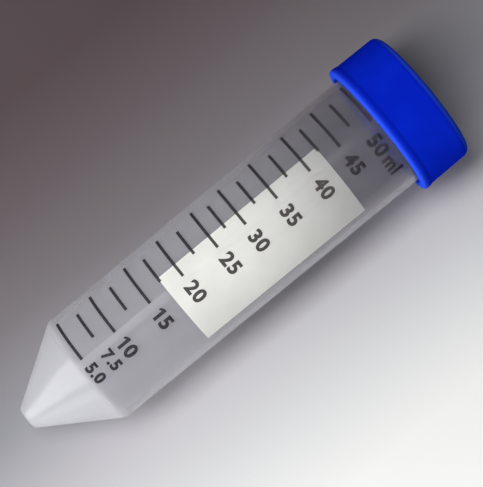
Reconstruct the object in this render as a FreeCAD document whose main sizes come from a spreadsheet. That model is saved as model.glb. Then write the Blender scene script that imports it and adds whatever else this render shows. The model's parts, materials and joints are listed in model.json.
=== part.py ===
"""A 50 ml conical centrifuge tube with its screw cap, lying on its side.

The tube is designed standing on its tip, with its axis on Z, and every piece is then laid
down by one placement. Lengths are in millimetres and angles in degrees.
"""
import FreeCAD, Part
import math
import os
import re

import Sketcher
from FreeCAD import Placement, Rotation, Vector

SIZES = [
    # tube, outside
    ("tube_length", 115.0, "tip to mouth rim"),
    ("tip_radius", 2.75, "flat end of the cone"),
    ("tip_round", 0.7, "round at the edge of the tip"),
    ("cone_height", 17.7, "tip to the shoulder between cone and barrel"),
    ("shoulder_radius", 14.05, "barrel at the shoulder"),
    ("shoulder_round", 1.2, "round of the shoulder"),
    ("barrel_top_radius", 14.5, "barrel just under the neck"),
    ("neck_step", 0.25, "how far the neck is set in from the barrel"),
    ("neck_cover", 1.2, "how far the cap comes down over the barrel"),
    # tube, inside
    ("wall", 1.08, "barrel and cone wall"),
    ("floor_thickness", 1.1, "wall at the tip"),
    ("bore_round", 1.2, "round at the bottom of the bore"),
    ("rim_round", 0.3, "round of the mouth rim"),
    # neck thread
    ("thread_pitch", 3.0, "rise in one turn"),
    ("thread_rise", 4.5, "first to last point of the thread"),
    ("thread_depth", 0.85, "how far the thread stands out"),
    ("thread_root", 1.7, "width of the thread at the neck"),
    ("thread_crest", 0.8, "width of the thread at its top"),
    ("thread_setback", 2.6, "mouth rim to the end of the thread"),
    # cap
    ("cap_height", 13.6, "rim of the skirt to the flat top"),
    ("cap_plate", 1.2, "thickness of the flat top"),
    ("cap_wall", 1.75, "skirt beside the neck"),
    ("top_inset", 0.15, "how far the skirt draws in towards the top"),
    ("cap_round", 1.9, "round between skirt and top"),
    ("lip_height", 1.7, "rolled lip at the rim of the skirt"),
    ("lip_flare", 0.2, "how far the lip stands out"),
    ("lip_round", 0.7, "round of the lip"),
    ("lip_blend", 0.6, "height of the slope from lip to skirt"),
    ("thread_clearance", 0.2, "between neck thread and cap bore"),
    ("seat_gap", 0.1, "between mouth rim and cap plate"),
    ("seal_depth", 3.5, "plug ring below the cap plate"),
    ("seal_wall", 0.9, "plug ring"),
    ("seal_clearance", 0.1, "between plug ring and bore"),
    ("seal_round", 0.3, "round of the plug ring"),
    # print
    ("ink", 0.08, "printed layer"),
    ("mark_width", 0.7, "stroke of a graduation line"),
    ("long_mark_sweep", 49.6, "arc of a long line"),
    ("short_mark_sweep", 31.0, "arc of a short line"),
    ("patch_lap", 13.4, "arc by which the long lines lap over the patch"),
    ("patch_sweep", 78.7, "arc of the writing patch"),
    ("scale_roll", 10.0, "from the end of the long lines to the top of the lying tube"),
    # printed scale, each from the shoulder up
    ("line_five", 1.8, "5 ml"),
    ("line_seven_half", 6.8, "7.5 ml"),
    ("line_ten", 11.25, "10 ml"),
    ("line_fifteen", 21.25, "15 ml"),
    ("line_twenty", 30.7, "20 ml"),
    ("line_twenty_five", 40.6, "25 ml"),
    ("line_thirty", 48.55, "30 ml"),
    ("line_thirty_five", 57.5, "35 ml"),
    ("line_forty", 66.9, "40 ml"),
    ("line_forty_five", 75.4, "45 ml"),
    ("line_fifty", 84.25, "50 ml"),
]
ALIASES = {alias for alias, _, _ in SIZES}

FULL_TURN = 360
EDGE_MATCH = 1e-4

# Heights and radii that several pieces share, as expressions of the sizes.
CONE_SLOPE = "((shoulder_radius - tip_radius) / cone_height)"
BORE_FOOT_HEIGHT = f"(cone_height + wall * tan(atan({CONE_SLOPE}) / 2))"
BORE_FOOT_RADIUS = "(shoulder_radius - wall)"
BORE_TIP_RADIUS = f"({BORE_FOOT_RADIUS} - ({BORE_FOOT_HEIGHT} - floor_thickness) * {CONE_SLOPE})"
CAP_UNDER_HEIGHT = "(tube_length + seat_gap)"
CAP_TOP_HEIGHT = f"({CAP_UNDER_HEIGHT} + cap_plate)"
CAP_RIM_HEIGHT = f"({CAP_TOP_HEIGHT} - cap_height)"
NECK_HEIGHT = f"({CAP_RIM_HEIGHT} + neck_cover)"
NECK_RADIUS = "(barrel_top_radius - neck_step)"
DRAFT = f"((barrel_top_radius - shoulder_radius) / ({NECK_HEIGHT} - cone_height))"
MOUTH_RADIUS = f"({BORE_FOOT_RADIUS} + {DRAFT} * ({NECK_HEIGHT} - {BORE_FOOT_HEIGHT}))"
CAP_BORE_RADIUS = f"({NECK_RADIUS} + thread_depth + thread_clearance)"
SKIRT_RADIUS = f"({CAP_BORE_RADIUS} + cap_wall)"
LIP_RADIUS = f"({SKIRT_RADIUS} + lip_flare)"
LIP_TOP_HEIGHT = f"({CAP_RIM_HEIGHT} + lip_height)"
CAP_TOP_RADIUS = f"({SKIRT_RADIUS} - top_inset)"
SEAL_RADIUS = f"({MOUTH_RADIUS} - seal_clearance)"
SEAL_BORE_RADIUS = f"({SEAL_RADIUS} - seal_wall)"
SEAL_FOOT_HEIGHT = f"({CAP_UNDER_HEIGHT} - seal_depth)"


def sized(expression):
    """An expression with each size's alias written as the sheet's cell."""
    words = re.split(r"([a-z_]+)", expression)
    return "".join(f"sizes.{word}" if word in ALIASES else word for word in words)


def value(expression):
    """What an expression of sizes comes to, as a plain number."""
    found = sheet.evalExpression(sized(expression))
    return float(getattr(found, "Value", found))


def make_sheet():
    """The spreadsheet that holds the driving dimensions."""
    made = doc.addObject("Spreadsheet::Sheet", "sizes")
    for row, (alias, size, note) in enumerate(SIZES, start=1):
        made.set(f"A{row}", alias)
        made.set(f"B{row}", str(size))
        made.set(f"C{row}", note)
        made.setAlias(f"B{row}", alias)
    doc.recompute()
    return made


# ---- bodies of revolution -------------------------------------------------------------------


def tie(sketch, line, kind, expression, axis):
    """Holds the start of a line on an axis of the sketch, or at its distance from it."""
    if expression == "0":
        sketch.addConstraint(Sketcher.Constraint("PointOnObject", line, 1, axis))
        return
    number = sketch.addConstraint(Sketcher.Constraint(kind, -1, 1, line, 1, value(expression)))
    sketch.setExpression(f"Constraints[{number}]", sized(expression))


def section(body, name, corners):
    """A closed outline on the body's XZ plane, through corners of (radius, height)."""
    sketch = body.newObject("Sketcher::SketchObject", name)
    plane = next(feature for feature in body.Origin.OriginFeatures if feature.Role == "XZ_Plane")
    sketch.AttachmentSupport = [(plane, "")]
    sketch.MapMode = "FlatFace"
    points = [Vector(value(radius), value(height), 0) for radius, height in corners]
    for here, after in zip(points, points[1:] + points[:1]):
        sketch.addGeometry(Part.LineSegment(here, after), False)
    for line, (radius, height) in enumerate(corners):
        before = (line - 1) % len(corners)
        sketch.addConstraint(Sketcher.Constraint("Coincident", before, 2, line, 1))
        tie(sketch, line, "DistanceX", radius, -2)
        tie(sketch, line, "DistanceY", height, -1)
    return sketch


def turn(body, name, corners):
    """Turns an outline about Z into the body's first solid."""
    feature = body.newObject("PartDesign::Revolution", name)
    feature.Profile = section(body, f"{name}_section", corners)
    feature.ReferenceAxis = (feature.Profile[0], ["V_Axis"])
    feature.Angle = FULL_TURN
    doc.recompute()


def ring_edges(shape, radius, height):
    """The names of the circular edges about Z at a radius and height."""
    names = []
    for number, edge in enumerate(shape.Edges, start=1):
        if not isinstance(edge.Curve, Part.Circle):
            continue
        off_radius = abs(edge.Curve.Radius - radius)
        off_height = abs(edge.Curve.Center.z - height)
        if max(off_radius, off_height) < EDGE_MATCH:
            names.append(f"Edge{number}")
    return names


def round_rings(body, name, size, rings):
    """Rounds the body's circular edges at the given pairs of (radius, height)."""
    base = body.Tip
    edges = []
    for radius, height in rings:
        edges += ring_edges(base.Shape, value(radius), value(height))
    if len(edges) != len(rings):
        raise ValueError(f"{body.Label} {name}: {len(edges)} edges found for {len(rings)} rings")
    fillet = body.newObject("PartDesign::Fillet", name)
    fillet.Base = (base, edges)
    fillet.setExpression("Radius", sized(size))
    doc.recompute()


# ---- pieces ---------------------------------------------------------------------------------


def make_tube():
    """Moulded tube: cone, drafted barrel and straight threaded neck around one bore."""
    body = doc.addObject("PartDesign::Body", "tube_body")
    turn(
        body,
        "barrel",
        [
            ("0", "0"),
            ("tip_radius", "0"),
            ("shoulder_radius", "cone_height"),
            ("barrel_top_radius", NECK_HEIGHT),
            (NECK_RADIUS, NECK_HEIGHT),
            (NECK_RADIUS, "tube_length"),
            (MOUTH_RADIUS, "tube_length"),
            (MOUTH_RADIUS, NECK_HEIGHT),
            (BORE_FOOT_RADIUS, BORE_FOOT_HEIGHT),
            (BORE_TIP_RADIUS, "floor_thickness"),
            ("0", "floor_thickness"),
        ],
    )
    round_rings(body, "tip_edge", "tip_round", [("tip_radius", "0")])
    round_rings(body, "shoulder_edge", "shoulder_round", [("shoulder_radius", "cone_height")])
    round_rings(body, "bore_bottom", "bore_round", [(BORE_TIP_RADIUS, "floor_thickness")])
    round_rings(
        body,
        "mouth_rim",
        "rim_round",
        [(NECK_RADIUS, "tube_length"), (MOUTH_RADIUS, "tube_length")],
    )
    add_neck_thread(body)
    return body


def add_neck_thread(body):
    """One start of thread on the neck, narrower at its crest and ending below the mouth rim."""
    start = "(tube_length - thread_setback - thread_rise)"
    sunk = f"({NECK_RADIUS} - neck_step)"
    crest = f"({NECK_RADIUS} + thread_depth)"
    outline = [
        (sunk, f"({start} - thread_root / 2)"),
        (NECK_RADIUS, f"({start} - thread_root / 2)"),
        (crest, f"({start} - thread_crest / 2)"),
        (crest, f"({start} + thread_crest / 2)"),
        (NECK_RADIUS, f"({start} + thread_root / 2)"),
        (sunk, f"({start} + thread_root / 2)"),
    ]
    helix = body.newObject("PartDesign::AdditiveHelix", "neck_thread")
    helix.Profile = section(body, "neck_thread_section", outline)
    helix.ReferenceAxis = (helix.Profile[0], ["V_Axis"])
    helix.Mode = "pitch-height-angle"
    helix.setExpression("Pitch", sized("thread_pitch"))
    helix.setExpression("Height", sized("thread_rise"))
    doc.recompute()


def make_cap():
    """Moulded screw cap: flat top, skirt with a rolled lip, and a plug ring inside."""
    body = doc.addObject("PartDesign::Body", "screw_cap")
    turn(
        body,
        "shell",
        [
            (CAP_BORE_RADIUS, CAP_RIM_HEIGHT),
            (LIP_RADIUS, CAP_RIM_HEIGHT),
            (LIP_RADIUS, LIP_TOP_HEIGHT),
            (SKIRT_RADIUS, f"({LIP_TOP_HEIGHT} + lip_blend)"),
            (CAP_TOP_RADIUS, CAP_TOP_HEIGHT),
            ("0", CAP_TOP_HEIGHT),
            ("0", CAP_UNDER_HEIGHT),
            (SEAL_BORE_RADIUS, CAP_UNDER_HEIGHT),
            (SEAL_BORE_RADIUS, SEAL_FOOT_HEIGHT),
            (SEAL_RADIUS, SEAL_FOOT_HEIGHT),
            (SEAL_RADIUS, CAP_UNDER_HEIGHT),
            (CAP_BORE_RADIUS, CAP_UNDER_HEIGHT),
        ],
    )
    round_rings(body, "top_edge", "cap_round", [(CAP_TOP_RADIUS, CAP_TOP_HEIGHT)])
    round_rings(
        body,
        "lip_edge",
        "lip_round",
        [(LIP_RADIUS, CAP_RIM_HEIGHT), (LIP_RADIUS, LIP_TOP_HEIGHT)],
    )
    round_rings(
        body,
        "plug_edge",
        "seal_round",
        [(SEAL_RADIUS, SEAL_FOOT_HEIGHT), (SEAL_BORE_RADIUS, SEAL_FOOT_HEIGHT)],
    )
    return body


# ---- print ----------------------------------------------------------------------------------


def scale_heights():
    """Heights of the printed scale's long and short lines; past 10 ml a short one is halfway."""
    long_lines = [
        "line_five",
        "line_ten",
        "line_fifteen",
        "line_twenty",
        "line_twenty_five",
        "line_thirty",
        "line_thirty_five",
        "line_forty",
        "line_forty_five",
        "line_fifty",
    ]
    halfway = [f"({low} + {high}) / 2" for low, high in zip(long_lines[1:], long_lines[2:])]
    short_lines = ["line_seven_half"] + halfway
    return [[f"(cone_height + {line})" for line in lines] for lines in (long_lines, short_lines)]


def cone(name, spare):
    """The barrel's outside as a solid cone, larger by a spare radius."""
    solid = doc.addObject("Part::Cone", name)
    solid.setExpression("Radius1", sized(f"shoulder_radius + {spare}"))
    solid.setExpression("Radius2", sized(f"barrel_top_radius + {spare}"))
    solid.setExpression("Height", sized(f"{NECK_HEIGHT} - cone_height"))
    solid.setExpression("Placement.Base.z", sized("cone_height"))
    return solid


def sector(name, low, high, start, sweep):
    """A wedge of a cylinder about Z between two heights, wider than the barrel."""
    wedge = doc.addObject("Part::Cylinder", name)
    wedge.setExpression("Radius", sized(LIP_RADIUS))
    wedge.setExpression("Height", sized(f"{high} - {low}"))
    wedge.setExpression("Angle", sized(sweep))
    wedge.setExpression("Placement.Base.z", sized(low))
    wedge.setExpression("Placement.Rotation.Angle", sized(start))
    return wedge


def boolean(kind, name, base, tool):
    """A Part boolean of two objects."""
    result = doc.addObject(f"Part::{kind}", name)
    result.Base = base
    result.Tool = tool
    return result


def band(name, height, sweep):
    """A wedge as thick as one graduation line; all of them share the middle of their arcs."""
    low, high = f"({height} - mark_width / 2)", f"({height} + mark_width / 2)"
    return sector(name, low, high, f"-(long_mark_sweep + {sweep}) / 2", sweep)


def make_print():
    """The graduation lines, and the white writing patch that they are printed over."""
    skin = boolean("Cut", "ink_skin", cone("ink_outside", "ink"), cone("ink_inside", "0"))
    long_heights, short_heights = scale_heights()
    bands = []
    for number, height in enumerate(long_heights, start=1):
        bands.append(band(f"long_band_{number}", height, "long_mark_sweep"))
    for number, height in enumerate(short_heights, start=1):
        bands.append(band(f"short_band_{number}", height, "short_mark_sweep"))
    stack = doc.addObject("Part::MultiFuse", "line_bands")
    stack.Shapes = bands
    lines = boolean("Common", "graduation_lines", skin, stack)
    field = sector("patch_wedge", short_heights[2], short_heights[7], "-patch_lap", "patch_sweep")
    coat = boolean("Common", "patch_coat", skin, field)
    patch = boolean("Cut", "writing_patch", coat, stack)
    doc.recompute()
    return lines, patch


# ---- laying the tube down -------------------------------------------------------------------


def lean():
    """The lying axis and the axis's height at the tip: the shoulder and the lip touch the floor.

    Both touch with their rounds, so the floor is the common tangent of two circles.
    """
    cone_angle = math.atan(value(CONE_SLOPE))
    draft_angle = math.atan(value(DRAFT))
    middle = (cone_angle + draft_angle) / 2
    shoulder_round = value("shoulder_round")
    inset = shoulder_round / math.cos((cone_angle - draft_angle) / 2)
    shoulder_height = value("cone_height") + inset * math.sin(middle)
    shoulder_radius = value("shoulder_radius") - inset * math.cos(middle)
    lip_round = value("lip_round")
    lip_height = value(CAP_RIM_HEIGHT) + lip_round
    lip_radius = value(LIP_RADIUS) - lip_round
    rise = lip_radius - shoulder_radius
    run = lip_height - shoulder_height
    angle = math.atan2(rise, run) + math.asin((lip_round - shoulder_round) / math.hypot(rise, run))
    drop = shoulder_radius * math.cos(angle) + shoulder_round - shoulder_height * math.sin(angle)
    return math.degrees(angle), drop


def lying(pieces):
    """The placement that lays the pieces down, centred over the origin, cap towards +X."""
    angle, drop = lean()
    on_side = Rotation(Vector(1, 0, 1), 180)
    turned = Rotation(Vector(0, 0, 1), -value("scale_roll"))
    rotation = Rotation(Vector(0, 1, 0), -angle).multiply(on_side).multiply(turned)
    outline = Part.makeCompound([piece.Shape for piece in pieces])
    outline.Placement = Placement(Vector(), rotation)
    box = outline.optimalBoundingBox(False, False)
    return Placement(Vector(-box.Center.x, 0, drop), rotation)


def check(pieces):
    """Stops if an object failed to build or a piece's shape is not a valid solid."""
    failed = [thing.Label for thing in doc.Objects if {"Invalid", "Error"} & set(thing.State)]
    if failed:
        raise RuntimeError(f"failed objects: {failed}")
    for piece in pieces:
        shape = piece.Shape
        if shape.isNull() or not shape.isValid() or not shape.Solids:
            raise RuntimeError(f"{piece.Label} has no valid solid")


doc = FreeCAD.newDocument("conical_tube")
sheet = make_sheet()
tube = make_tube()
cap = make_cap()
graduation_lines, writing_patch = make_print()
parts = [tube, cap, graduation_lines, writing_patch]
laid = lying(parts)
for part in parts:
    part.Placement = laid
doc.recompute()
check(parts)
os.makedirs("parts", exist_ok=True)
for part in parts:
    part.Shape.exportStep(f"parts/{part.Label}.step")
    print(part.Label, len(part.Shape.Solids), "solids", round(part.Shape.Volume, 2), "mm3")
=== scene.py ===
"""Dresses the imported 50 ml conical tube: materials, printed numerals, the cap's thread and a studio.

Blender units are metres, and sizes are written in millimetres times MM. The tube's own frame has
its tip at the origin, its axis on Z and the ends of the long graduation lines towards +X; LAID
carries a mesh from there to where the frame holds the lying tube.
"""
import json
import math

import bmesh
import bpy
from mathutils import Matrix, Vector


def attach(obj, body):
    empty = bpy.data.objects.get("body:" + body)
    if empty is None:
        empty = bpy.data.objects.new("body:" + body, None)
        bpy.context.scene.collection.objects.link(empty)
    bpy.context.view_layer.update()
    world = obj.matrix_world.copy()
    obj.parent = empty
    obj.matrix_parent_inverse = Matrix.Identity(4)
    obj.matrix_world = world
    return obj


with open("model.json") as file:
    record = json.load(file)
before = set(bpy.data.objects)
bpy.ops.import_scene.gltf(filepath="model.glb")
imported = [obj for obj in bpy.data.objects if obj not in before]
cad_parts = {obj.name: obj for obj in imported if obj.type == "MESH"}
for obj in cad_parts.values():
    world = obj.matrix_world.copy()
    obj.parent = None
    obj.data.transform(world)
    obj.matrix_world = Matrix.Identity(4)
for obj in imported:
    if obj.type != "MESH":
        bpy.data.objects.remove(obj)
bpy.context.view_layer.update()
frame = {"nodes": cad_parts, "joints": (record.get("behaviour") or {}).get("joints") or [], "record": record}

MM = 0.001

# ---- the tube's own frame ---------------------------------------------------------------------

CLOSED_LENGTH = 116.3 * MM          # tip to the top of the closed cap
SCALE_ROLL = math.radians(10.0)     # from the ends of the long lines to the top of the lying tube
SHOULDER_HEIGHT = 17.7 * MM
SHOULDER_RADIUS = 14.05 * MM
NECK_HEIGHT = 103.9 * MM            # end of the drafted barrel
BARREL_TOP_RADIUS = 14.5 * MM

CAP_AXIS = Vector(frame["joints"][0]["axis"]).normalized()
CAP_TOP = next(mount for mount in frame["record"]["mounts"] if mount["name"] == "cap_top")
TIP = Vector(CAP_TOP["pos_m"]) - CLOSED_LENGTH * CAP_AXIS
UPWARDS = Vector((-CAP_AXIS.z, 0, CAP_AXIS.x))      # square to the axis, at the top of the tube
NEAR_SIDE = Vector((0, -1, 0))


def laying_matrix():
    """From the tube's own frame to the lying tube."""
    lines_end = math.cos(SCALE_ROLL) * UPWARDS - math.sin(SCALE_ROLL) * NEAR_SIDE
    third = CAP_AXIS.cross(lines_end)
    return Matrix.Translation(TIP) @ Matrix((lines_end, third, CAP_AXIS)).transposed().to_4x4()


LAID = laying_matrix()


def barrel_radius(height):
    """Outside of the drafted barrel at a height above the tip."""
    share = (height - SHOULDER_HEIGHT) / (NECK_HEIGHT - SHOULDER_HEIGHT)
    return SHOULDER_RADIUS + share * (BARREL_TOP_RADIUS - SHOULDER_RADIUS)


# ---- materials --------------------------------------------------------------------------------


def srgb(text):
    """A hex colour as linear red, green, blue and alpha."""
    parts = [int(text[i:i + 2], 16) / 255 for i in (1, 3, 5)]
    linear = [c / 12.92 if c <= 0.04045 else ((c + 0.055) / 1.055) ** 2.4 for c in parts]
    return (*linear, 1.0)


def add(tree, kind, settings):
    """A new node with its properties, its sockets' values, what feeds its sockets or ramp stops."""
    node = tree.nodes.new("ShaderNode" + kind)
    sockets = {socket.identifier: socket for socket in node.inputs}
    for name, value in settings.items():
        if name == "stops":
            elements = node.color_ramp.elements
            while len(elements) < len(value):
                elements.new(1.0)
            for element, (position, colour) in zip(elements, value):
                element.position = position
                element.color = srgb(colour)
        elif isinstance(value, bpy.types.NodeSocket):
            tree.links.new(value, sockets[name])
        elif name in sockets:
            sockets[name].default_value = value
        else:
            setattr(node, name, value)
    return node


def new_material(name):
    """A material with an empty tree, and that tree."""
    material = bpy.data.materials.new(name)
    material.use_nodes = True
    material.node_tree.nodes.clear()
    return material, material.node_tree


def height_above_tip(tree, place):
    """A socket with the height above the tip, measured along the axis."""
    along = add(tree, "VectorMath", {
        "operation": "DOT_PRODUCT",
        "Vector": place,
        "Vector_001": CAP_AXIS,
    })
    return add(tree, "Math", {
        "operation": "SUBTRACT",
        "Value": along.outputs["Value"],
        "Value_001": TIP.dot(CAP_AXIS),
    }).outputs["Value"]


CONE_HAZE = 0.32                    # share of the cone's thick skin that scatters light
BARREL_HAZE = 0.22                  # and of the barrel's
NECK_HAZE = 0.055                   # and of the neck's, kept low as painted shade that darkens it
CONE_HAZE_TO = 16.5 * MM            # the cone's haze reaches this height above the tip
BARREL_HAZE_FROM = 19.5 * MM        # the barrel's begins here
NECK_SHADE_FROM = 58 * MM             # from here to the neck the haze falls away as painted shade, darkening the barrel towards the cap
THROUGH_HAZE = 0.5                  # share of the scattered light that goes on into the wall
FLOW_MARK = 12 * MM                 # across one faint mark of the resin's flow into the mould
RESIN_TINT = "#C6C2C8"
RESIN_SHINE = "#6C6C6C"             # dulls its reflections, as a moulded skin does
HAZE_TINT = "#F2F4F7"
SHADOW_TINT = "#C8C8C8"             # what the tube lets by into its own shadow


def natural_polypropylene():
    """Natural PP, injection moulded: milky to look through and white in the thick cone; its haze
    falls away towards the neck as painted shade, and it has a soft waxy shine."""
    material, tree = new_material("natural_polypropylene")
    place = add(tree, "TexCoord", {}).outputs["Object"]
    height = height_above_tip(tree, place)
    # painted shade: the barrel's haze falls towards the neck, which darkens it there
    barrel_haze = add(tree, "MapRange", {
        "interpolation_type": "SMOOTHSTEP",
        "Value": height,
        "From Min": NECK_SHADE_FROM,
        "From Max": NECK_HEIGHT,
        "To Min": BARREL_HAZE,
        "To Max": NECK_HAZE,
    })
    haziness = add(tree, "MapRange", {
        "interpolation_type": "SMOOTHSTEP",
        "Value": height,
        "From Min": CONE_HAZE_TO,
        "From Max": BARREL_HAZE_FROM,
        "To Min": CONE_HAZE,
        "To Max": barrel_haze.outputs["Result"],
    })
    flow = add(tree, "TexNoise", {"Vector": place, "Scale": 1 / FLOW_MARK, "Detail": 1.0})
    polish = add(tree, "MapRange", {"Value": flow.outputs["Fac"], "To Min": 0.1, "To Max": 0.16})
    ripple = add(tree, "Bump", {
        "Height": flow.outputs["Fac"],
        "Strength": 0.1,
        "Distance": 0.05 * MM,
    })
    clear = add(tree, "BsdfPrincipled", {
        "Base Color": srgb(RESIN_TINT),
        "Roughness": polish.outputs["Result"],
        "IOR": 1.49,
        "Specular Tint": srgb(RESIN_SHINE),
        "Transmission Weight": 1.0,
        "Normal": ripple.outputs["Normal"],
    })
    haze = add(tree, "MixShader", {
        "Fac": THROUGH_HAZE,
        "Shader": add(tree, "BsdfTranslucent", {"Color": srgb(HAZE_TINT)}).outputs["BSDF"],
        "Shader_001": add(tree, "BsdfDiffuse", {"Color": srgb(HAZE_TINT)}).outputs["BSDF"],
    })
    skin = add(tree, "MixShader", {
        "Fac": haziness.outputs["Result"],
        "Shader": clear.outputs["BSDF"],
        "Shader_001": haze.outputs["Shader"],
    })
    surface = add(tree, "MixShader", {
        "Fac": add(tree, "LightPath", {}).outputs["Is Shadow Ray"],
        "Shader": skin.outputs["Shader"],
        "Shader_001": add(tree, "BsdfTransparent", {"Color": srgb(SHADOW_TINT)}).outputs["BSDF"],
    })
    add(tree, "OutputMaterial", {"Surface": surface.outputs["Shader"]})
    return material


CAP_HIGHLIGHT = "#2446D4"                # painted highlight: the rounded lip and top edge are painted paler than the sides
LIP_HIGHLIGHT = (102.8 * MM, 104.2 * MM)     # painted highlight on the lip below the first height above the tip
TOP_HIGHLIGHT = (114.8 * MM, 115.6 * MM)     # painted highlight on the top edge above the second
CAP_GRAIN = 0.35 * MM               # across a grain of the mould, drawn coarse enough to show
CAP_CLOUD = 7 * MM                  # across a patch of slightly lighter dye


def blue_polyethylene():
    """Blue HDPE, injection moulded: opaque, waxy and matt, with a painted highlight along its lip and top
    edge.
    """
    material, tree = new_material("blue_polyethylene")
    place = add(tree, "TexCoord", {}).outputs["Object"]
    grain = add(tree, "TexNoise", {"Vector": place, "Scale": 1 / CAP_GRAIN, "Detail": 2.0})
    cloud = add(tree, "TexNoise", {"Vector": place, "Scale": 1 / CAP_CLOUD, "Detail": 2.0})
    colour = add(tree, "ValToRGB", {
        "Fac": cloud.outputs["Fac"],
        "stops": ((0.35, "#051EAE"), (0.65, "#0622B6")),
    })
    height = height_above_tip(tree, place)
    # painted highlight: masks of the lip and the top edge, where the colour is made paler
    lip = add(tree, "MapRange", {
        "interpolation_type": "SMOOTHSTEP",
        "Value": height,
        "From Min": LIP_HIGHLIGHT[0],
        "From Max": LIP_HIGHLIGHT[1],
        "To Min": 1.0,
        "To Max": 0.0,
    })
    corner = add(tree, "MapRange", {
        "interpolation_type": "SMOOTHSTEP",
        "Value": height,
        "From Min": TOP_HIGHLIGHT[0],
        "From Max": TOP_HIGHLIGHT[1],
    })
    edges = add(tree, "Math", {
        "operation": "MAXIMUM",
        "Value": lip.outputs["Result"],
        "Value_001": corner.outputs["Result"],
    })
    # mixes in the paler colour as a painted highlight
    highlighted = add(tree, "MixRGB", {
        "Fac": edges.outputs["Value"],
        "Color1": colour.outputs["Color"],
        "Color2": srgb(CAP_HIGHLIGHT),
    })
    polish = add(tree, "MapRange", {"Value": cloud.outputs["Fac"], "To Min": 0.3, "To Max": 0.44})
    tooth = add(tree, "Bump", {
        "Height": grain.outputs["Fac"],
        "Strength": 0.12,
        "Distance": 0.02 * MM,
    })
    skin = add(tree, "BsdfPrincipled", {
        "Base Color": highlighted.outputs["Color"],
        "Roughness": polish.outputs["Result"],
        "IOR": 1.52,
        "Specular IOR Level": 0.0,
        "Normal": tooth.outputs["Normal"],
    })
    add(tree, "OutputMaterial", {"Surface": skin.outputs["BSDF"]})
    return material


PATCH_SHADE_FROM = 55 * MM           # height above the tip where the painted shade on the coat begins
PATCH_SHADE_TO = 95 * MM
PATCH_SHADE_SHARE = 0.75                    # share of the coat made see-through up there, as painted shade
COAT_GLOW = 0.35                    # share of the light on the coat that comes out behind it
WEAVE = 0.5 * MM                    # across a mark of the screen, drawn coarse enough to show
COAT_CLOUD = 6 * MM                 # across a patch where slightly more ink went down


def white_screen_ink():
    """White epoxy screen ink: a matt coat that a pen writes on, made partly see-through towards the cap as
    painted shade, so that it darkens there.
    """
    material, tree = new_material("white_screen_ink")
    place = add(tree, "TexCoord", {}).outputs["Object"]
    weave = add(tree, "TexNoise", {"Vector": place, "Scale": 1 / WEAVE, "Detail": 2.0})
    coat = add(tree, "TexNoise", {"Vector": place, "Scale": 1 / COAT_CLOUD, "Detail": 2.0})
    colour = add(tree, "ValToRGB", {
        "Fac": coat.outputs["Fac"],
        "stops": ((0.3, "#EAEAE6"), (0.7, "#F0F0EC")),
    })
    tooth = add(tree, "Bump", {
        "Height": weave.outputs["Fac"],
        "Strength": 0.25,
        "Distance": 0.03 * MM,
    })
    face = add(tree, "BsdfPrincipled", {
        "Base Color": colour.outputs["Color"],
        "Roughness": 0.62,
        "IOR": 1.5,
        "Normal": tooth.outputs["Normal"],
    })
    glow = add(tree, "BsdfTranslucent", {"Color": colour.outputs["Color"]})
    film = add(tree, "MixShader", {
        "Fac": COAT_GLOW,
        "Shader": face.outputs["BSDF"],
        "Shader_001": glow.outputs["BSDF"],
    })
    # painted shade: the coat turns partly transparent towards the cap, which darkens the patch there
    thin = add(tree, "MapRange", {
        "interpolation_type": "SMOOTHSTEP",
        "Value": height_above_tip(tree, place),
        "From Min": PATCH_SHADE_FROM,
        "From Max": PATCH_SHADE_TO,
        "To Max": PATCH_SHADE_SHARE,
    })
    coated = add(tree, "MixShader", {
        "Fac": thin.outputs["Result"],
        "Shader": film.outputs["Shader"],
        "Shader_001": add(tree, "BsdfTransparent", {}).outputs["BSDF"],
    })
    add(tree, "OutputMaterial", {"Surface": coated.outputs["Shader"]})
    return material


def on_patch(tree, place):
    """A socket that is 1 on the writing patch and 0 beside it."""
    back = LAID.inverted()
    patch = frame["nodes"]["writing_patch"].data
    corners = [back @ vertex.co for vertex in patch.vertices]
    tube_y = LAID.col[1].xyz            # the Y axis of the tube's own frame
    height = height_above_tip(tree, place)
    aside = add(tree, "VectorMath", {
        "operation": "DOT_PRODUCT",
        "Vector": place,
        "Vector_001": tube_y,
    }).outputs["Value"]
    long_edge = TIP.dot(tube_y) + min(corner.y for corner in corners)
    inside = add(tree, "Math", {
        "operation": "GREATER_THAN",
        "Value": aside,
        "Value_001": long_edge,
    }).outputs["Value"]
    ends = {
        "GREATER_THAN": min(corner.z for corner in corners),
        "LESS_THAN": max(corner.z for corner in corners),
    }
    for operation, end in ends.items():
        past = add(tree, "Math", {"operation": operation, "Value": height, "Value_001": end})
        inside = add(tree, "Math", {
            "operation": "MULTIPLY",
            "Value": inside,
            "Value_001": past.outputs["Value"],
        }).outputs["Value"]
    return inside


INK_SPECK = 0.6 * MM                # across a spot where the screen left less ink


def black_screen_ink():
    """Black epoxy screen ink: a thin satin film, a little greyer where it lies on the white coat."""
    material, tree = new_material("black_screen_ink")
    place = add(tree, "TexCoord", {}).outputs["Object"]
    coat = add(tree, "TexNoise", {"Vector": place, "Scale": 1 / INK_SPECK, "Detail": 2.0})
    bare = add(tree, "ValToRGB", {
        "Fac": coat.outputs["Fac"],
        "stops": ((0.3, "#29272B"), (0.75, "#3B383E")),
    })
    coated = add(tree, "ValToRGB", {
        "Fac": coat.outputs["Fac"],
        "stops": ((0.3, "#3E3C3B"), (0.75, "#4D4A49")),
    })
    colour = add(tree, "MixRGB", {
        "Fac": on_patch(tree, place),
        "Color1": bare.outputs["Color"],
        "Color2": coated.outputs["Color"],
    })
    skin = add(tree, "BsdfPrincipled", {
        "Base Color": colour.outputs["Color"],
        "Roughness": 0.6,
        "IOR": 1.5,
        "Specular IOR Level": 0.1,
    })
    add(tree, "OutputMaterial", {"Surface": skin.outputs["BSDF"]})
    return material


FLOOR_REACH = 80 * MM               # its tones run this far each way from the tube


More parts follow.
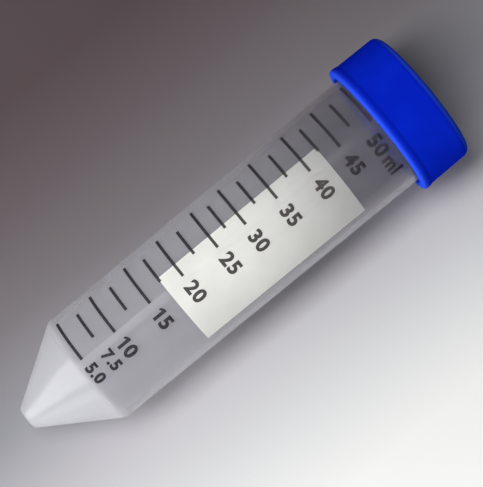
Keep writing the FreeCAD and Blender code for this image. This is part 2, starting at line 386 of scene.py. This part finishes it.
def graded_paper():
    """Studio paper, matt, its tone graded from warm grey on the far side to white on the near
    side."""
    material, tree = new_material("graded_paper")
    parts = add(tree, "SeparateXYZ", {"Vector": add(tree, "TexCoord", {}).outputs["Object"]})
    along = add(tree, "MapRange", {
        "Value": parts.outputs["Y"],
        "From Min": FLOOR_REACH,
        "From Max": -FLOOR_REACH,
    })
    tone = add(tree, "ValToRGB", {
        "Fac": along.outputs["Result"],
        "stops": (
            (0.0, "#423539"),
            (0.12, "#433539"),
            (0.25, "#544B4F"),
            (0.375, "#676265"),
            (0.5, "#838389"),
            (0.62, "#ADABB0"),
            (0.75, "#CCCDCE"),
            (0.88, "#E9E9E7"),
            (1.0, "#F2F2EF"),
        ),
    })
    skin = add(tree, "BsdfPrincipled", {"Base Color": tone.outputs["Color"], "Roughness": 0.8})
    add(tree, "OutputMaterial", {"Surface": skin.outputs["BSDF"]})
    return material


# ---- printed numerals -------------------------------------------------------------------------

LINE_GAP = 1 * MM                   # the printed lines are further apart than this
LOWEST_VOLUME = 5                   # ml, at the lowest line
LINE_VOLUME = 2.5                   # ml from each line to the next
NUMERAL_VOLUME = 5                  # ml from each numeral to the next, after 7.5
HIGHEST_VOLUME = 50
NUMERAL_HEIGHT = 3.4 * MM
SMALL_NUMERAL_HEIGHT = 2.8 * MM     # 5.0 and 7.5
FIRST_FIGURE = math.radians(13.3)   # its middle at half height, from the ends of the long lines
PRINT_SKEW = math.radians(0.046)    # the numerals stray from that by this in each millimetre
SCALE_MIDDLE = 63 * MM
FIGURE_STEP = 0.75                  # from one middle to the next, for a numeral 1 high
POINT_STEP = 0.52                   # to and from the decimal point
LOWEST_RISE = 0.45 * MM             # 5.0 is printed this far above its line, clear of the shoulder
UNIT_DROP = 2.2 * MM                # 50 ml is printed this far below its line, clear of the cap
UNIT_STEP = 1.12                    # from the 0 of 50 to the m of its unit
INK_RISE = 0.12 * MM                # top of the numerals above the barrel
INK_SINK = 0.02 * MM
BEND = 0.4 * MM                     # widest facet of a bent numeral
BOLD = 0.036                        # swells the strokes of a font of size 1
FONT_HEIGHT = 0.75                  # of a bold figure, in a font of size 1
FONT_CURVE_STEPS = 5
SAME_POINT = 1e-5                   # points of a figure that are closer than this are one
# A one with a flag, as an outline 1 high about its own middle.
FLAGGED_ONE = [
    (0.2, -0.5), (0.2, 0.5), (0.03, 0.5), (-0.22, 0.36),
    (-0.22, 0.18), (-0.02, 0.27), (-0.02, -0.5),
]


def printed_heights():
    """Heights of the printed lines above the tip, lowest first."""
    back = LAID.inverted()
    heights = sorted((back @ v.co).z for v in frame["nodes"]["graduation_lines"].data.vertices)
    groups = [[heights[0]]]
    for height in heights[1:]:
        if height - groups[-1][-1] > LINE_GAP:
            groups.append([])
        groups[-1].append(height)
    return [(group[0] + group[-1]) / 2 for group in groups]


def figure(character):
    """A flat bold character, 1 high if it is a figure, with its middle at the origin."""
    shape = bmesh.new()
    if character == "1":
        shape.faces.new([shape.verts.new((x, y, 0)) for x, y in FLAGGED_ONE])
        return shape
    curve = bpy.data.curves.new("figure", "FONT")
    curve.body = character
    curve.offset = BOLD
    curve.resolution_u = FONT_CURVE_STEPS
    flat = bpy.data.objects.new("figure", curve)
    bpy.context.scene.collection.objects.link(flat)
    depsgraph = bpy.context.evaluated_depsgraph_get()
    mesh = bpy.data.meshes.new_from_object(flat.evaluated_get(depsgraph))
    bpy.data.objects.remove(flat)
    shape.from_mesh(mesh)
    bpy.data.meshes.remove(mesh)
    bmesh.ops.remove_doubles(shape, verts=shape.verts, dist=SAME_POINT)
    middle = (min(v.co.x for v in shape.verts) + max(v.co.x for v in shape.verts)) / 2
    bmesh.ops.translate(shape, verts=shape.verts, vec=(-middle, BOLD - FONT_HEIGHT / 2, 0))
    bmesh.ops.scale(shape, verts=shape.verts, vec=(1 / FONT_HEIGHT, 1 / FONT_HEIGHT, 1))
    return shape


def steps_along(text):
    """Where each character's middle lies after the first one's, for a numeral 1 high."""
    places = [0.0]
    for before, here in zip(text, text[1:]):
        step = POINT_STEP if "." in (before, here) else UNIT_STEP if here == "m" else FIGURE_STEP
        places.append(places[-1] + step)
    return places


def numeral(text, size, start, height):
    """A numeral bent round the barrel, reading away from the ends of the long lines."""
    whole = bmesh.new()
    for character, place in zip(text, steps_along(text)):
        shape = figure(character)
        bmesh.ops.translate(shape, verts=shape.verts, vec=(place, 0, 0))
        mesh = bpy.data.meshes.new("figure")
        shape.to_mesh(mesh)
        shape.free()
        whole.from_mesh(mesh)
        bpy.data.meshes.remove(mesh)
    bmesh.ops.scale(whole, verts=whole.verts, vec=(size, size, 1))
    low = min(v.co.x for v in whole.verts)
    high = max(v.co.x for v in whole.verts)
    raised = bmesh.ops.extrude_face_region(whole, geom=whole.faces[:])["geom"]
    lower = [part for part in raised if isinstance(part, bmesh.types.BMVert)]
    bmesh.ops.translate(whole, verts=lower, vec=(0, 0, -INK_RISE - INK_SINK))
    for cut in range(1, math.ceil((high - low) / BEND)):
        everything = whole.verts[:] + whole.edges[:] + whole.faces[:]
        place = (low + cut * BEND, 0, 0)
        bmesh.ops.bisect_plane(whole, geom=everything, plane_co=place, plane_no=(1, 0, 0))
    for vertex in whole.verts:
        level = height + vertex.co.y
        angle = start + vertex.co.x / barrel_radius(level)
        out = barrel_radius(level) + INK_RISE + vertex.co.z
        vertex.co = (out * math.cos(angle), out * math.sin(angle), level)
    bmesh.ops.transform(whole, matrix=LAID, verts=whole.verts)
    bmesh.ops.recalc_face_normals(whole, faces=whole.faces)
    mesh = bpy.data.meshes.new(text)
    whole.to_mesh(mesh)
    whole.free()
    return mesh


def add_numerals(ink):
    """The figures beside the printed lines: every 5 ml, and 7.5."""
    for index, height in enumerate(printed_heights()):
        volume = LOWEST_VOLUME + LINE_VOLUME * index
        small = index < 2
        if volume % NUMERAL_VOLUME and not small:
            continue
        text = f"{volume:.1f}" if small else f"{volume:.0f}"
        size = SMALL_NUMERAL_HEIGHT if small else NUMERAL_HEIGHT
        name = "numeral_" + text.replace(".", "_")
        if volume == LOWEST_VOLUME:
            height += LOWEST_RISE
        if volume == HIGHEST_VOLUME:
            text += "ml"
            height -= UNIT_DROP
        start = FIRST_FIGURE + PRINT_SKEW * (height - SCALE_MIDDLE) / MM
        piece = add_object(name, numeral(text, size, start, height))
        piece.data.materials.append(ink)
        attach(piece, "tube")


# ---- cap thread -------------------------------------------------------------------------------

CAP_BORE_RADIUS = 15.3 * MM
THREAD_PITCH = 3.0 * MM
THREAD_START = 106.4 * MM           # above the tip; half a pitch below the neck's own thread
THREAD_TURNS = 1.6
THREAD_DEPTH = 0.8 * MM
THREAD_ROOT = 1.6 * MM              # width of a turn at the wall
THREAD_CREST = 0.7 * MM             # and at its top
THREAD_SUNK = 0.2 * MM              # how deep its back lies in the wall
THREAD_RUN_OUT = 0.08               # turns over which each end grows out of the wall
THREAD_SEGMENTS = 72                # in one turn


def cap_thread(finish):
    """The thread inside the cap, which winds between the turns of the neck's."""
    shape = bmesh.new()
    sunk = CAP_BORE_RADIUS + THREAD_SUNK
    crest = CAP_BORE_RADIUS - THREAD_DEPTH
    outline = [
        (sunk, -THREAD_ROOT / 2), (CAP_BORE_RADIUS, -THREAD_ROOT / 2), (crest, -THREAD_CREST / 2),
        (crest, THREAD_CREST / 2), (CAP_BORE_RADIUS, THREAD_ROOT / 2), (sunk, THREAD_ROOT / 2),
    ]
    corners = [shape.verts.new((radius, 0, THREAD_START + up)) for radius, up in outline]
    first = shape.faces.new(corners)
    steps = round(THREAD_TURNS * THREAD_SEGMENTS)
    bmesh.ops.spin(
        shape, geom=[first, *first.edges, *first.verts], axis=(0, 0, 1), cent=(0, 0, 0),
        dvec=(0, 0, THREAD_PITCH / THREAD_SEGMENTS), angle=THREAD_TURNS * math.tau, steps=steps)
    for vertex in shape.verts:
        radius = vertex.co.xy.length
        part_turn = math.atan2(vertex.co.y, vertex.co.x) / math.tau % 1
        risen = (vertex.co.z - THREAD_START) / THREAD_PITCH
        turn = part_turn + round(risen - part_turn)
        grown = min(1.0, turn / THREAD_RUN_OUT, (THREAD_TURNS - turn) / THREAD_RUN_OUT)
        if radius < CAP_BORE_RADIUS:
            vertex.co.xy *= (CAP_BORE_RADIUS - max(0.0, grown) * (CAP_BORE_RADIUS - radius)) / radius
    bmesh.ops.recalc_face_normals(shape, faces=shape.faces)
    bmesh.ops.transform(shape, matrix=LAID, verts=shape.verts)
    mesh = bpy.data.meshes.new("cap_thread")
    shape.to_mesh(mesh)
    shape.free()
    piece = add_object("cap_thread", mesh)
    mesh.materials.append(finish)
    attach(piece, "cap")


def add_object(name, mesh):
    """A mesh as an object at the origin."""
    piece = bpy.data.objects.new(name, mesh)
    bpy.context.scene.collection.objects.link(piece)
    return piece


# ---- studio -----------------------------------------------------------------------------------

FLOOR_HALF = 2.0                    # metres from its middle to each side
# Lamps, in metres and watts.
KEY_PLACE = (-0.13, 0.088, 0.36)
KEY_AIM = (-0.04, 0.0, 0.0)
KEY_SIDES = (0.33, 0.12)
KEY_POWER = 1.68
FILL_PLACE = (-0.46, -0.51, 0.12)
FILL_AIM = (-0.02, 0.0, 0.01)
FILL_SIDES = (0.66, 0.2)
FILL_POWER = 2.45
EDGE_PLACE = (-1.505, 0.144, 0.375)
EDGE_AIM = (-0.05, 0.0, 0.012)
EDGE_SIDES = (0.3, 1.14)            # the longer side lies across the tube
EDGE_POWER = 14.4
ROOM_LIGHT = 0.09                   # strength of the world's white


def lay_floor():
    """The graded paper that the tube lies on."""
    shape = bmesh.new()
    bmesh.ops.create_grid(shape, x_segments=1, y_segments=1, size=FLOOR_HALF)
    mesh = bpy.data.meshes.new("floor")
    shape.to_mesh(mesh)
    shape.free()
    mesh.materials.append(graded_paper())
    add_object("floor", mesh)


def softbox(name, place, aim, sides, power):
    """A rectangular lamp aimed at a point, its first side as near as can be along X."""
    light = bpy.data.lights.new(name, "AREA")
    light.shape = "RECTANGLE"
    light.size, light.size_y = sides
    light.energy = power
    back = (Vector(place) - Vector(aim)).normalized()
    along = Vector((1, 0, 0))
    along = (along - along.dot(back) * back).normalized()
    turn = Matrix((along, back.cross(along), back)).transposed().to_4x4()
    lamp = bpy.data.objects.new(name, light)
    lamp.matrix_world = Matrix.Translation(place) @ turn
    bpy.context.scene.collection.objects.link(lamp)


def light_studio():
    """A key from above the far side, a low fill from the near side, a far, low edge light from
    beyond the tip that draws a highlight down the cone, and a dim room."""
    softbox("key", KEY_PLACE, KEY_AIM, KEY_SIDES, KEY_POWER)
    softbox("fill", FILL_PLACE, FILL_AIM, FILL_SIDES, FILL_POWER)
    softbox("edge", EDGE_PLACE, EDGE_AIM, EDGE_SIDES, EDGE_POWER)
    world = bpy.data.worlds.new("room")
    world.use_nodes = True
    walls = world.node_tree.nodes["Background"]
    walls.inputs["Color"].default_value = srgb("#FFFFFF")
    walls.inputs["Strength"].default_value = ROOM_LIGHT
    bpy.context.scene.world = world


CAMERA_OVER = 64.27 * MM            # point of the axis under the camera, above the tip
CAMERA_ASIDE = 0.16 * MM            # from there to the near side
CAMERA_DISTANCE = 432.7 * MM
CAMERA_TILT = 0.0034                # how far it leans towards the tip, for each unit forward
CAMERA_ROLL = math.radians(39.47)   # the axis rises to the right by this
FOCAL_LENGTH = 141.85               # for a sensor 36 mm wide


def place_camera():
    """Looks straight down on the tube, which lies across the frame towards its upper right."""
    back = (UPWARDS + CAMERA_TILT * CAP_AXIS).normalized()
    right = math.cos(CAMERA_ROLL) * CAP_AXIS + math.sin(CAMERA_ROLL) * NEAR_SIDE
    right = (right - right.dot(back) * back).normalized()
    place = TIP + CAMERA_OVER * CAP_AXIS + CAMERA_ASIDE * NEAR_SIDE + CAMERA_DISTANCE * UPWARDS
    data = bpy.data.cameras.new("camera")
    data.sensor_fit = "HORIZONTAL"
    data.lens = FOCAL_LENGTH
    turn = Matrix((right, back.cross(right), back)).transposed().to_4x4()
    camera = bpy.data.objects.new("camera", data)
    camera.matrix_world = Matrix.Translation(place) @ turn
    bpy.context.scene.collection.objects.link(camera)
    bpy.context.scene.camera = camera


DARK_INK = black_screen_ink()
BLUE = blue_polyethylene()
FINISHES = {
    "tube_body": natural_polypropylene(),
    "screw_cap": BLUE,
    "graduation_lines": DARK_INK,
    "writing_patch": white_screen_ink(),
}
for node, finish in FINISHES.items():
    frame["nodes"][node].material_slots[0].material = finish
add_numerals(DARK_INK)
cap_thread(BLUE)
lay_floor()
light_studio()
place_camera()
bpy.context.scene.view_settings.view_transform = "Standard"
